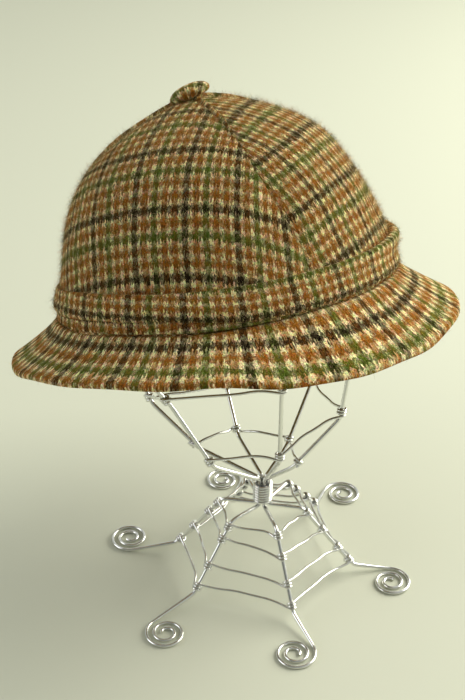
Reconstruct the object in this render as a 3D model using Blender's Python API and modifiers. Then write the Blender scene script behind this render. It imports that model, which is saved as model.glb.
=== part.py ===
"""A tweed hat with a four-gore crown, on the bent-wire stand that holds it. Metres, +Z up."""
import bpy
import bmesh
from math import acos, atan2, cos, degrees, hypot, pi, radians, sin, sqrt
from mathutils import Matrix, Vector

# Cloth and clearances
CLEARANCE = 0.0003          # between neighbouring pieces
CLOTH_WALL = 0.002          # one gore of the crown
HEAD_LENGTH = 0.210         # outside of the crown's foot, front to back
HEAD_WIDTH = 0.178
HEAD_TURN = radians(35.5)   # the hat's long axis, turned on its stand

# Crown
CROWN_HEIGHT = 0.1136
CROWN_SHIFT = Vector((-0.0053, -0.0053))  # how far the apex sits off the foot's centre
CROWN_SLANT = 0.067         # rise of the top towards +X, per metre
SEAM_DIP = 0.0014           # the groove along a seam
SEAM_REACH = radians(13)    # how far from a seam its groove reaches
SEAM_STEP = radians(4)      # width of the faces beside a seam
SEAM_SWING = radians(-9.5)  # how far round the seams have swung near the apex
SWING_START = 0.28          # share of the crown's height where they start to swing
SWING_FULL = 0.68           # and where they have swung
APEX_HOLE = 0.003           # radius left open where the gores meet, under the button

# Button
BUTTON_DIAMETER = 0.024
BUTTON_THICKNESS = 0.0080
BUTTON_TILT = radians(16)
BUTTON_LIFT = 0.0012        # over the apex, so that its low side clears the crown

# Band and the fold under it
BAND_HEIGHT = 0.0245
BAND_WALL = 0.002
BAND_FLARE = 0.0075         # the most that the band's top edge stands off the crown
FOLD_HEIGHT = 0.013
FOLD_WALL = 0.0015
FOLD_START = radians(-74)   # where the fold comes out from under the band
FOLD_SWEEP = radians(196)   # clockwise, seen from above
FOLD_MARGIN = radians(6)    # how far past the fold's ends the band still stands off

# Brim
BRIM_REACH = 0.030          # outwards, seen from above
BRIM_DROP = 0.0235          # the outer edge below the crown's foot, on average
BRIM_WALL = 0.003

# Stand: wires, neck and base
LEG_WIRE = 0.0026
RING_WIRE = 0.0017
FIRST_SLOT = radians(168)   # azimuth of wire 1 in the neck
NECK_TOP = 0.0670
SHOULDER_RADIUS = 0.025
SHOULDER_HEIGHT = 0.0470
KNEE_RADIUS = 0.0565
KNEE_HEIGHT = 0.0062
FOOT_CIRCLE = 0.0850
SPIRAL_DIAMETER = 0.0280
SPIRAL_EYE = 0.0090         # diameter of the innermost turn
SPIRAL_TURNS = 1.75
WIRE_BEND = 0.0030          # how far from a corner a bend starts
NECK_BEND = 0.0022
WRAP_GAP = 0.0005           # between a wire and the thin wire wrapped round it
WRAP_STEPS = 7              # sides of a wrap

# Stand: the cage, in a frame that leans at the neck's top
LEAN_BACK = radians(17)
LEAN_LEFT = radians(9)
LOW_RADIUS = 0.0300
LOW_RISE = 0.0160
HIGH_RADIUS = 0.0540
HIGH_RISE = 0.0540
WINDING_START = 3           # how many wires lie before the one where the cage's winding starts
WINDING_TURNS = 2
WINDING_BOW = 0.03
HAT_RISE = 0.1190           # the crown's foot above the neck's top, along the lean
HAT_SHIFT = -0.0035
RIB_INSET = 0.0030          # the ribs' distance inside the crown's side wall
SEAT_GAP = 0.0006           # the ribs' distance under the crown's top
SEAT_RISE = 0.35            # share of the crown's height where the ribs start to close on its inside
SEAT_FULL = 0.85            # and where they have closed on it
CROWN_RING_SHARE = 0.955    # height of the ribs' ends, as a share of the crown's height
RIB_SHARES = [0.12, 0.3, 0.47, 0.62, 0.75, 0.86, CROWN_RING_SHARE]

# Outline of the crown: height as a share of its height, size as a share of its foot
CROWN_ROWS = [
    dict(height=0.00, size=1.000),
    dict(height=0.12, size=0.970),
    dict(height=0.28, size=0.920),
    dict(height=0.45, size=0.864),
    dict(height=0.60, size=0.787),
    dict(height=0.73, size=0.695),
    dict(height=0.84, size=0.544),
    dict(height=0.92, size=0.373),
    dict(height=0.97, size=0.225),
    dict(height=1.00, size=0.000),
]
# The crown's seams at its foot: azimuth in degrees, and how many faces the gore that follows has across.
# The photo shows two broad gores and the seam between them; the two narrower ones behind are a guess.
SEAM_ROWS = [
    dict(azimuth=-168, faces=12),
    dict(azimuth=-55, faces=12),
    dict(azimuth=46, faces=8),
    dict(azimuth=120, faces=8),
]

# Brim round the hat: azimuth in degrees, its drop and reach as shares
BRIM_ROWS = [
    dict(azimuth=-170, drop=0.72, reach=1.03),
    dict(azimuth=-140, drop=0.62, reach=1.03),
    dict(azimuth=-115, drop=0.65, reach=1.00),
    dict(azimuth=-90, drop=0.86, reach=1.00),
    dict(azimuth=-60, drop=1.24, reach=1.00),
    dict(azimuth=-30, drop=1.30, reach=1.00),
    dict(azimuth=-10, drop=1.22, reach=1.08),
    dict(azimuth=5, drop=0.97, reach=1.14),
    dict(azimuth=35, drop=0.74, reach=1.09),
    dict(azimuth=80, drop=0.90, reach=1.00),
    dict(azimuth=140, drop=0.90, reach=1.00),
]
# Band round the hat: its lower edge as a share of its height, its top edge's flare as a share
BAND_ROWS = [
    dict(azimuth=-170, low=0.36, flare=0.27),
    dict(azimuth=-130, low=0.42, flare=0.18),
    dict(azimuth=-112, low=0.38, flare=0.05),
    dict(azimuth=-95, low=0.20, flare=0.00),
    dict(azimuth=-78, low=0.03, flare=0.00),
    dict(azimuth=-40, low=0.00, flare=0.06),
    dict(azimuth=-15, low=0.00, flare=0.70),
    dict(azimuth=10, low=0.00, flare=1.00),
    dict(azimuth=50, low=0.00, flare=0.40),
    dict(azimuth=100, low=0.10, flare=0.20),
    dict(azimuth=150, low=0.30, flare=0.25),
]
# Section through the band: height from its lower edge (0) to its top (1), depth in walls
BAND_SECTION = [
    dict(height=0.00, depth=0.00),
    dict(height=0.45, depth=0.00),
    dict(height=1.00, depth=0.00),
    dict(height=1.02, depth=0.50),
    dict(height=1.00, depth=1.10),
    dict(height=0.45, depth=1.25),
    dict(height=0.04, depth=1.10),
]
# The button's turned outline, as shares of its radius and its thickness
BUTTON_OUTLINE = [
    dict(radius=0.00, height=1.00),
    dict(radius=0.35, height=0.97),
    dict(radius=0.68, height=0.86),
    dict(radius=0.90, height=0.62),
    dict(radius=1.00, height=0.36),
    dict(radius=0.95, height=0.12),
    dict(radius=0.80, height=0.00),
    dict(radius=0.00, height=0.00),
]
# The six wires: azimuths in degrees, sizes as shares of the base's and the cage's
WIRE_ROWS = [
    dict(foot=168, reach=1.035, knee=171, bend=0.98, turn=-1, second=0.28, third=0.61,
         low=161, lowSize=1.32, lowRise=1.23, high=165, highSize=1.19, highRise=0.94),
    dict(foot=-130, reach=1.030, knee=-137, bend=0.99, turn=1, second=0.26, third=0.62,
         low=-137, lowSize=1.21, lowRise=1.23, high=-147, highSize=1.00, highRise=1.16),
    dict(foot=-76, reach=0.985, knee=-70, bend=1.01, turn=-1, second=0.34, third=0.66,
         low=-60, lowSize=0.82, lowRise=1.02, high=-60, highSize=0.72, highRise=1.15),
    dict(foot=-13, reach=0.980, knee=-9, bend=1.03, turn=-1, second=0.38, third=0.69,
         low=-32, lowSize=0.76, lowRise=0.55, high=-15, highSize=0.98, highRise=0.67),
    dict(foot=51, reach=1.020, knee=54, bend=1.08, turn=-1, second=0.31, third=0.65,
         low=45, lowSize=0.77, lowRise=0.78, high=45, highSize=0.94, highRise=0.81),
    dict(foot=109, reach=1.000, knee=111, bend=1.00, turn=1, second=0.31, third=0.65,
         low=112, lowSize=1.23, lowRise=1.08, high=110, highSize=0.93, highRise=0.79),
]
# The wires that run round the legs, at a share of the way from shoulder to knee, or at a table's column
BASE_RINGS = [dict(at=0.0, bow=0.05), dict(at="second", bow=0.02), dict(at="third", bow=0.02), dict(at=1.0, bow=0.03)]

WIRES = len(WIRE_ROWS)
GORES = len(SEAM_ROWS)


def empty_scene():
    for item in list(bpy.data.objects):
        bpy.data.objects.remove(item, do_unlink=True)


def material(name, colour, roughness, metallic=0.0):
    made = bpy.data.materials.new(name)
    made.use_nodes = True
    shader = made.node_tree.nodes["Principled BSDF"]
    shader.inputs["Base Color"].default_value = (*colour, 1)
    shader.inputs["Roughness"].default_value = roughness
    shader.inputs["Metallic"].default_value = metallic
    return made


def anchor(name, parent=None):
    made = bpy.data.objects.new(name, None)
    bpy.context.scene.collection.objects.link(made)
    made.parent = parent
    return made


def add(name, data, parent, finish):
    data.materials.append(finish)
    made = bpy.data.objects.new(name, data)
    collection.objects.link(made)
    made.parent = parent
    return made


def mesh_from(name, points, faces):
    mesh = bpy.data.meshes.new(name)
    mesh.from_pydata([tuple(p) for p in points], [], faces)
    shaped = bmesh.new()
    shaped.from_mesh(mesh)
    bmesh.ops.recalc_face_normals(shaped, faces=shaped.faces)
    shaped.to_mesh(mesh)
    shaped.free()
    return mesh


def loft(name, sections, closed):
    """Skin a row of like sections; closed joins the last to the first, otherwise both ends are capped."""
    count = len(sections[0])
    points = [p for section in sections for p in section]
    faces = []
    for i in range(len(sections) if closed else len(sections) - 1):
        here, there = i * count, (i + 1) % len(sections) * count
        for j in range(count):
            k = (j + 1) % count
            faces.append((here + j, here + k, there + k, there + j))
    if not closed:
        faces.append(tuple(range(count)))
        faces.append(tuple(range(len(points) - count, len(points))))
    mesh = mesh_from(name, points, faces)
    mesh.shade_smooth()
    mesh.set_sharp_from_angle(angle=radians(50))
    return mesh


def blend(rows, key, value, column):
    """Read a table between its rows, along straight lines."""
    for low, high in zip(rows, rows[1:]):
        if value <= high[key]:
            break
    share = min(1, max(0, (value - low[key]) / (high[key] - low[key])))
    return low[column] + (high[column] - low[column]) * share


def round_the_hat(rows, azimuth, column):
    """Read a table of azimuths, which closes on itself."""
    angle = (degrees(azimuth) - rows[0]["azimuth"]) % 360 + rows[0]["azimuth"]
    return blend(rows + [dict(rows[0], azimuth=rows[0]["azimuth"] + 360)], "azimuth", angle, column)


def direction(azimuth):
    return Vector((cos(azimuth), sin(azimuth), 0))


def head_radius(azimuth):
    """The oval of the crown's foot, as a radius at an azimuth."""
    long, short = HEAD_LENGTH / 2, HEAD_WIDTH / 2
    turn = azimuth - HEAD_TURN
    return long * short / hypot(short * cos(turn), long * sin(turn))


def seam(number):
    """A seam's azimuth at the crown's foot; the numbers run on round the hat."""
    return radians(SEAM_ROWS[number % GORES]["azimuth"]) + number // GORES * 2 * pi


def swing(share):
    """How far round the seams have swung at a share of the crown's height."""
    return SEAM_SWING * min(1, max(0, (share - SWING_START) / (SWING_FULL - SWING_START)))


def seam_dip(azimuth, share):
    """The groove beside the nearest seam, deepest on the seam."""
    off = min(abs((azimuth - swing(share) - seam(k) + pi) % (2 * pi) - pi) for k in range(GORES))
    return SEAM_DIP * max(0, 1 - off / SEAM_REACH) ** 2


def crown_point(azimuth, share, dipped=True):
    """A point on the crown's outside, in the hat's frame."""
    size = blend(CROWN_ROWS, "height", share, "size")
    radius = head_radius(azimuth) * size
    if dipped:
        radius -= seam_dip(azimuth, share) * min(1, 2 * size)
    point = direction(azimuth) * radius
    point.z = share * CROWN_HEIGHT + CROWN_SLANT * point.x * share ** 2
    return point + CROWN_SHIFT.to_3d() * share ** 2


def off_crown(azimuth, share, distance):
    """A point at a distance off the crown's outside, along its normal; below zero is inside."""
    step = 0.02
    up = crown_point(azimuth, min(share + step, 1), False) - crown_point(azimuth, max(share - step, 0), False)
    along = crown_point(azimuth + step, share, False) - crown_point(azimuth - step, share, False)
    return crown_point(azimuth, share, False) + along.cross(up).normalized() * distance


def apex():
    return crown_point(0, 1, False)


def gore_azimuths(number):
    """The azimuths across a gore at its foot, from its seam to the next one."""
    start, end = seam(number), seam(number + 1)
    between = SEAM_ROWS[number]["faces"] - 2    # the faces between the two beside the seams
    width = (end - start - 2 * SEAM_STEP) / between
    return [start] + [start + SEAM_STEP + i * width for i in range(between + 1)] + [end]


def hat_azimuths():
    """The azimuths that the crown, the band and the brim share, seam by seam."""
    return [azimuth for number in range(GORES) for azimuth in gore_azimuths(number)[:-1]]


def crown_panel(number, parent, finish):
    rows = [row["height"] for row in CROWN_ROWS[:-1]]
    last = CROWN_ROWS[-2]
    rows.append(1 - (1 - last["height"]) * APEX_HOLE / (head_radius(seam(number)) * last["size"]))
    columns = gore_azimuths(number)
    across = len(columns)
    points, faces = [], []
    for share in rows:
        for column, foot in enumerate(columns):
            azimuth = foot + swing(share)
            side = crown_point(azimuth, share).xy - CROWN_SHIFT * share ** 2
            inset = (CLEARANCE / 2) / side.length
            azimuth += inset if column == 0 else -inset if column == across - 1 else 0
            points.append(crown_point(azimuth, share))
    for i in range(len(rows) - 1):
        for j in range(across - 1):
            low = i * across + j
            faces.append((low, low + 1, low + across + 1, low + across))
    mesh = bpy.data.meshes.new(f"crown_panel_{number + 1}")
    mesh.from_pydata([tuple(p) for p in points], [], faces)
    mesh.shade_smooth()
    panel = add(mesh.name, mesh, parent, finish)
    wall = panel.modifiers.new("wall", "SOLIDIFY")
    wall.thickness = CLOTH_WALL
    wall.offset = -1
    return panel


def crown_hem():
    """How far the inner edge of the sloping crown wall hangs below its outer edge."""
    foot, above = CROWN_ROWS[:2]
    draw = (foot["size"] - above["size"]) * HEAD_LENGTH / 2
    return CLOTH_WALL * draw / hypot(draw, above["height"] * CROWN_HEIGHT)


def brim_fall(azimuth, out):
    """How far the brim's upper face lies below the crown's foot, at a distance out from the foot."""
    share = max(0, out) / (BRIM_REACH * round_the_hat(BRIM_ROWS, azimuth, "reach"))
    drop = BRIM_DROP * round_the_hat(BRIM_ROWS, azimuth, "drop")
    return CLEARANCE + crown_hem() + drop * share * (1.12 - 0.12 * share)


def brim_point(azimuth, out, below=0.0):
    point = direction(azimuth) * (head_radius(azimuth) + out)
    point.z = -brim_fall(azimuth, out) - below
    return point


def brim(parent, finish):
    sections = []
    for azimuth in hat_azimuths():
        reach = BRIM_REACH * round_the_hat(BRIM_ROWS, azimuth, "reach")
        slope = (brim_fall(azimuth, reach) - brim_fall(azimuth, 0)) / reach
        wall = BRIM_WALL * sqrt(1 + slope ** 2)
        roll = BRIM_WALL / 2
        outs = [-CLOTH_WALL, BRIM_WALL, reach / 2, reach - roll]
        section = [brim_point(azimuth, out) for out in outs]
        section.append(brim_point(azimuth, reach - roll * 0.3, wall * 0.15))
        section.append(brim_point(azimuth, reach, wall / 2))
        section.append(brim_point(azimuth, reach - roll * 0.3, wall * 0.85))
        section += [brim_point(azimuth, out, wall) for out in reversed(outs)]
        sections.append(section)
    add("brim", loft("brim", sections, True), parent, finish)


def past_fold_start(azimuth):
    """How far round from the fold's start an azimuth lies."""
    return (FOLD_START - azimuth) % (2 * pi)


def band_gap(azimuth, level):
    """The band's distance off the crown: flush, over the fold, or flared towards its top edge."""
    turned = past_fold_start(azimuth)
    over_fold = turned < FOLD_SWEEP + FOLD_MARGIN or turned > 2 * pi - FOLD_MARGIN
    flare = BAND_FLARE * round_the_hat(BAND_ROWS, azimuth, "flare") * min(level, 1)
    return CLEARANCE + (FOLD_WALL + CLEARANCE if over_fold else 0) + flare


def band(parent, finish):
    tall = BAND_HEIGHT / CROWN_HEIGHT
    sections = []
    for azimuth in hat_azimuths():
        low = round_the_hat(BAND_ROWS, azimuth, "low")
        section = []
        for row in BAND_SECTION:
            level = low + (1 - low) * row["height"]
            distance = band_gap(azimuth, level) + BAND_WALL * row["depth"]
            section.append(off_crown(azimuth, level * tall, distance))
        sections.append(section)
    add("band", loft("band", sections, True), parent, finish)


def band_fold(parent, finish):
    """A strip that narrows to a quarter of its height at both ends."""
    tall = FOLD_HEIGHT / CROWN_HEIGHT
    sections = []
    for azimuth in sorted(hat_azimuths(), key=past_fold_start):
        share = past_fold_start(azimuth) / FOLD_SWEEP
        if share > 1:
            break
        top = min(1, 0.25 + 5 * share, 0.25 + 4 * (1 - share))
        low = 0.14 * (1 - top)
        section = []
        for level, depth in ((low, 0), (top, 0), (top, 1), (low + 0.3 * top, 1.15), (low, 0.9)):
            section.append(off_crown(azimuth, level * tall, CLEARANCE + FOLD_WALL * depth))
        sections.append(section)
    add("band_fold", loft("band_fold", sections, False), parent, finish)


def button(parent, finish):
    """A turned dome with a flat seat, over the seams' meeting point."""
    mesh = bpy.data.meshes.new("top_button")
    points = [(row["radius"] * BUTTON_DIAMETER / 2, 0, row["height"] * BUTTON_THICKNESS) for row in BUTTON_OUTLINE]
    mesh.from_pydata(points, [(i, i + 1) for i in range(len(points) - 1)], [])
    made = add("top_button", mesh, parent, finish)
    turned = made.modifiers.new("turned", "SCREW")
    turned.steps = turned.render_steps = 20
    turned.use_merge_vertices = True
    turned.merge_threshold = 0.00005
    turned.use_smooth_shade = True
    made.location = apex() + Vector((0, 0, BUTTON_LIFT))
    made.rotation_euler = (0, -BUTTON_TILT, 0)


def wire(name, points, diameter, parent, finish, cyclic=False):
    """A round wire as a six-sided tube along its points."""
    curve = bpy.data.curves.new(name, "CURVE")
    curve.dimensions = "3D"
    curve.bevel_depth = diameter / 2
    curve.bevel_resolution = 1
    curve.resolution_u = 1
    curve.use_fill_caps = not cyclic
    spline = curve.splines.new("POLY")
    spline.points.add(len(points) - 1)
    for spot, point in zip(spline.points, points):
        spot.co = (*point, 1)
    spline.use_cyclic_u = cyclic
    return add(name, curve, parent, finish)


def rounded(corners):
    """Round each corner of a bent wire, given with how far from it the bend starts."""
    points = [corner for corner, bend in corners]
    path = [points[0]]
    for before, (corner, bend), after in zip(points, corners[1:], points[2:]):
        into, onto = before - corner, after - corner
        start = corner + into.normalized() * min(bend, into.length * 0.45)
        end = corner + onto.normalized() * min(bend, onto.length * 0.45)
        for share in (0, 0.5, 1):
            path.append(start * (1 - share) ** 2 + corner * 2 * share * (1 - share) + end * share ** 2)
    return path + [points[-1]]


def place(azimuth, radius, height):
    point = direction(azimuth) * radius
    point.z = height
    return point


def foot_spiral(row):
    """From the eye of the spiral outwards, to where the leg leaves it straight for the knee."""
    centre = place(radians(row["foot"]), FOOT_CIRCLE * row["reach"], 0)
    knee = place(radians(row["knee"]), KNEE_RADIUS * row["bend"], 0)
    outer = (SPIRAL_DIAMETER - LEG_WIRE) / 2
    inner = SPIRAL_EYE / 2
    to_knee = knee - centre
    leave = atan2(to_knee.y, to_knee.x) + row["turn"] * acos(outer / to_knee.length)
    steps = round(SPIRAL_TURNS * 9)
    height = LEG_WIRE / 2 * cos(pi / 6)
    points = []
    for i in range(steps + 1):
        inwards = 1 - i / steps
        radius = outer + (inner - outer) * inwards
        points.append(centre + place(leave + row["turn"] * inwards * SPIRAL_TURNS * 2 * pi, radius, height))
    return points


def leg_point(row, share):
    """A point on the straight part of a leg, from shoulder (0) to knee (1)."""
    shoulder = place(radians(row["knee"]), SHOULDER_RADIUS, SHOULDER_HEIGHT)
    knee = place(radians(row["knee"]), KNEE_RADIUS * row["bend"], KNEE_HEIGHT)
    return shoulder.lerp(knee, share)


def lean():
    """The frame of the cage and the hat, at the top of the neck."""
    up = Vector((-sin(LEAN_LEFT) / cos(LEAN_LEFT), sin(LEAN_BACK) / cos(LEAN_BACK), 1)).normalized()
    right = (Vector((1, 0, 0)) - up * up.x).normalized()
    turned = Matrix((right, up.cross(right), up)).transposed().to_4x4()
    return Matrix.Translation((0, 0, NECK_TOP)) @ turned


def slot(number):
    """Where a wire stands in the neck's bundle of six."""
    return FIRST_SLOT + number * 2 * pi / WIRES


def low_point(row):
    return place(radians(row["low"]), LOW_RADIUS * row["lowSize"], LOW_RISE * row["lowRise"])


def high_point(row):
    return place(radians(row["high"]), HIGH_RADIUS * row["highSize"], HIGH_RISE * row["highRise"])


def rib_in_crown(row, share):
    """The rib inside the crown, in the cage's frame; it closes on the crown's inside towards the top."""
    closed = min(1, max(0, (share - SEAT_RISE) / (SEAT_FULL - SEAT_RISE)))
    inside = CLOTH_WALL + LEG_WIRE / 2 + RIB_INSET + (SEAT_GAP - RIB_INSET) * closed
    return off_crown(radians(row["high"]), share, -inside) + Vector((HAT_SHIFT, 0, HAT_RISE))


def stand_wire(number, row, parent, finish):
    """One wire: foot spiral, leg, strand of the neck, rib of the cage."""
    bundle = LEG_WIRE + CLEARANCE
    leaning = lean()
    spiral = foot_spiral(row)
    clear_of_table = Vector((0, 0, CLEARANCE / 3))
    corners = [(spiral[-1] + clear_of_table, 0), (leg_point(row, 1), WIRE_BEND), (leg_point(row, 0), WIRE_BEND)]
    corners.append((place(slot(number), bundle, SHOULDER_HEIGHT), NECK_BEND))
    corners.append((place(slot(number), bundle, NECK_TOP), NECK_BEND))
    corners += [(leaning @ low_point(row), WIRE_BEND), (leaning @ high_point(row), WIRE_BEND)]
    ribs = [leaning @ rib_in_crown(row, share) for share in RIB_SHARES]
    corners.append((ribs[0], 0))
    wire(f"stand_wire_{number + 1}", spiral[:-1] + rounded(corners) + ribs[1:], LEG_WIRE, parent, finish)


def inwards(step, outward, onward):
    """How far a step turns away from the outward side as it goes onward."""
    return atan2(-step.dot(outward), step.dot(onward))


def wrapping_wire(name, crossings, bow, closed, parent, finish):
    """A thin wire that runs from wire to wire, wraps each one once, and bows inwards between them."""
    distance = (LEG_WIRE + RING_WIRE) / 2 + WRAP_GAP
    pitch = RING_WIRE + WRAP_GAP
    middle = sum((point for point, along, outward in crossings), Vector()) / len(crossings)
    spans = []
    for (here, *_), (there, *_) in zip(crossings, crossings[1:] + crossings[:1]):
        shares = [here.lerp(there, share) for share in (0.3, 0.7)]
        spans.append([point + (middle - point).normalized() * (there - here).length * bow for point in shares])
    path = []
    for number, (point, along, outward) in enumerate(crossings):
        outward = (outward - along * outward.dot(along)).normalized()
        onward = along.cross(outward)
        start = -inwards(spans[number - 1][-1] - point, outward, -onward)
        end = 2 * pi + inwards(spans[number][0] - point, outward, onward)
        for i in range(WRAP_STEPS + 1):
            angle = start + (end - start) * i / WRAP_STEPS
            around = outward * cos(angle) + onward * sin(angle)
            path.append(point + around * distance + along * pitch * (angle / (2 * pi) - 0.5))
        if closed or number < len(crossings) - 1:
            path += spans[number]
    wire(name, path, RING_WIRE, parent, finish, cyclic=closed)


def base_ring(number, row, parent, finish):
    crossings = []
    for leg in WIRE_ROWS:
        share = leg[row["at"]] if row["at"] in leg else row["at"]
        reach = leg_point(leg, 0) - leg_point(leg, 1)
        margin = (WIRE_BEND + RING_WIRE) / reach.length
        share = min(1 - margin, max(margin, share))
        crossings.append((leg_point(leg, share), reach.normalized(), direction(radians(leg["knee"]))))
    wrapping_wire(f"base_ring_{number}", crossings, row["bow"], True, parent, finish)


def cage_winding(parent, finish):
    """A thin wire that winds round the cage and wraps each rib just above its bends, first the low, then the high."""
    leaning = lean()
    crossings = []
    for number in range(WINDING_START, WINDING_START + WINDING_TURNS * WIRES):
        row = WIRE_ROWS[number % WIRES]
        if number < WINDING_START + WIRES:
            here, there, azimuth = low_point(row), high_point(row), row["low"]
        else:
            here, there, azimuth = high_point(row), rib_in_crown(row, RIB_SHARES[0]), row["high"]
        along = (leaning.to_3x3() @ (there - here)).normalized()
        outward = leaning.to_3x3() @ direction(radians(azimuth))
        crossings.append((leaning @ here + along * (WIRE_BEND + RING_WIRE), along, outward))
    wrapping_wire("cage_winding", crossings, WINDING_BOW, False, parent, finish)


def neck_coil(parent, finish):
    """Thin wire wound round the six strands of the neck."""
    radius = LEG_WIRE * 1.5 + CLEARANCE + CLEARANCE * 1.5 + RING_WIRE / 2
    pitch = RING_WIRE + CLEARANCE
    low = SHOULDER_HEIGHT + NECK_BEND + RING_WIRE / 2
    high = NECK_TOP - NECK_BEND - RING_WIRE / 2
    turns = (high - low) / pitch
    steps = round(turns * 9)
    path = [place(2 * pi * turns * i / steps, radius, low + (high - low) * i / steps) for i in range(steps + 1)]
    wire("neck_coil", path, RING_WIRE, parent, finish)


def crown_ring(parent, finish):
    """The small ring that the ribs end on, just inside their ends."""
    leaning = lean()
    inside = CLOTH_WALL + LEG_WIRE + SEAT_GAP + CLEARANCE + RING_WIRE / 2
    path = []
    for i in range(18):
        point = off_crown(2 * pi * i / 18, CROWN_RING_SHARE, -inside) + Vector((HAT_SHIFT, 0, HAT_RISE))
        path.append(leaning @ point)
    wire("crown_ring", path, RING_WIRE, parent, finish, cyclic=True)


def stand_on_origin(root):
    """Move the whole object so that the middle of its underside is the origin."""
    bpy.context.view_layer.update()
    seen = bpy.context.evaluated_depsgraph_get()
    corners = []
    for made in collection.objects:
        shape = made.evaluated_get(seen)
        mesh = shape.to_mesh()
        corners += [made.matrix_world @ vertex.co for vertex in mesh.vertices]
        shape.to_mesh_clear()
    low = [min(corner[i] for corner in corners) for i in range(3)]
    high = [max(corner[i] for corner in corners) for i in range(3)]
    root.location = (-(low[0] + high[0]) / 2, -(low[1] + high[1]) / 2, -low[2])


empty_scene()
collection = bpy.data.collections.new("tweed_hat_on_stand")
bpy.context.scene.collection.children.link(collection)

tweed = material("wool_tweed", (0.32, 0.22, 0.12), 0.95)
bright_wire = material("aluminium_wire", (0.72, 0.73, 0.70), 0.28, 1.0)

root = anchor("root")
hat = anchor("hat", root)
hat.matrix_local = lean() @ Matrix.Translation((HAT_SHIFT, 0, HAT_RISE))

for gore in range(GORES):
    crown_panel(gore, hat, tweed)
button(hat, tweed)
band(hat, tweed)
band_fold(hat, tweed)
brim(hat, tweed)
for index, row in enumerate(WIRE_ROWS):
    stand_wire(index, row, root, bright_wire)
for index, row in enumerate(BASE_RINGS):
    base_ring(index + 1, row, root, bright_wire)
neck_coil(root, bright_wire)
cage_winding(root, bright_wire)
crown_ring(root, bright_wire)
stand_on_origin(root)
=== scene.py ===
# A tweed hat on its stand of bent aluminium wire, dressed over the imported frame.
# Lengths are in metres and angles in degrees, unless a note says otherwise.
import random
from math import acos, atan2, ceil, cos, degrees, exp, hypot, pi, radians, sin, tan

import bpy
from mathutils import Matrix, Vector


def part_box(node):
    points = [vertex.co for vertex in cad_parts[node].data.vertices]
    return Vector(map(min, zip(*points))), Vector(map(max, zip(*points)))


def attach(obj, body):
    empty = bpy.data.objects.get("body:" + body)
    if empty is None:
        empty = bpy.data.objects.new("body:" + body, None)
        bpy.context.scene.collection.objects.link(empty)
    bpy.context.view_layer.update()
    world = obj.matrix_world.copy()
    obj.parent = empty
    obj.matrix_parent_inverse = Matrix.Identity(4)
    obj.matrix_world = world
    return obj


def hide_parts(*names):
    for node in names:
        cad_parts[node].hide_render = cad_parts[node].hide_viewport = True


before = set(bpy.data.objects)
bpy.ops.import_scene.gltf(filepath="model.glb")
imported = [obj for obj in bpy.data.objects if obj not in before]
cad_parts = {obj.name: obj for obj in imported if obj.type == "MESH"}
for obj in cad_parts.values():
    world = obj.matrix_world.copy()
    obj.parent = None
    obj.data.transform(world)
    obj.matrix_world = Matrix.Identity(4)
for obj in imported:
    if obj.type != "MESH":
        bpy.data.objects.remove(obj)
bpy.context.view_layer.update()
print("frame loaded")

coilLow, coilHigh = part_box("neck_coil")
standPlace = Matrix.Translation(((coilLow.x + coilHigh.x) / 2, (coilLow.y + coilHigh.y) / 2, 0))

# camera

camera = {
    "lens": 65,                       # millimetres on a 36 mm sensor
    "place": (0, -0.6111, 0.5491),    # from the foot of the stand's axis
    "turn": (57.48, 0, 1.75),
}
cameraData = bpy.data.cameras.new("camera")
cameraData.lens = camera["lens"]
cameraObject = bpy.data.objects.new("camera", cameraData)
cameraObject.matrix_world = standPlace @ Matrix.Translation(camera["place"])
cameraObject.rotation_euler = [radians(angle) for angle in camera["turn"]]
bpy.context.scene.collection.objects.link(cameraObject)
bpy.context.scene.camera = cameraObject


# small tools for materials


def linear(hexColour):
    channels = [int(hexColour[i:i + 2], 16) / 255 for i in (1, 3, 5)]
    return (*[c / 12.92 if c <= 0.04045 else ((c + 0.055) / 1.055) ** 2.4 for c in channels], 1)


def addNode(tree, kind, inputs=(), **settings):
    # an input is a value, a socket, or a node whose first output is meant
    node = tree.nodes.new(kind)
    for name, value in settings.items():
        setattr(node, name, value)
    for socket, value in dict(inputs).items():
        if isinstance(value, bpy.types.Node):
            value = value.outputs[0]
        if isinstance(value, bpy.types.NodeSocket):
            tree.links.new(value, node.inputs[socket])
        else:
            node.inputs[socket].default_value = value
    return node


def addMath(tree, operation, *values):
    return addNode(tree, "ShaderNodeMath", dict(enumerate(values)), operation=operation)


def addVectorMath(tree, operation, *values):
    return addNode(tree, "ShaderNodeVectorMath", dict(enumerate(values)), operation=operation)


def addNoise(tree, vector, scale, detail):
    return addNode(tree, "ShaderNodeTexNoise", {"Vector": vector, "Scale": scale, "Detail": detail})


def addRange(tree, value, given, wanted):
    # turns values between the given two into values between the wanted two
    return addNode(tree, "ShaderNodeMapRange", {
        "Value": value, "From Min": given[0], "From Max": given[1], "To Min": wanted[0], "To Max": wanted[1]})


def addBump(tree, shader, height, strength, distance):
    bump = addNode(tree, "ShaderNodeBump", {"Height": height, "Strength": strength, "Distance": distance})
    tree.links.new(bump.outputs["Normal"], shader.inputs["Normal"])


def newMaterial(name, shaderInputs):
    material = bpy.data.materials.new(name)
    material.use_nodes = True
    shader = material.node_tree.nodes["Principled BSDF"]
    for socket, value in shaderInputs.items():
        shader.inputs[socket].default_value = value
    return material, material.node_tree, shader


# wool tweed: woollen yarn in a 2/2 twill, blocks of coloured and cream threads by turns both ways,
# brushed soft. The eye gets small toothed checks with streaky edges, no shine, and a bloom of fibres

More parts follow.
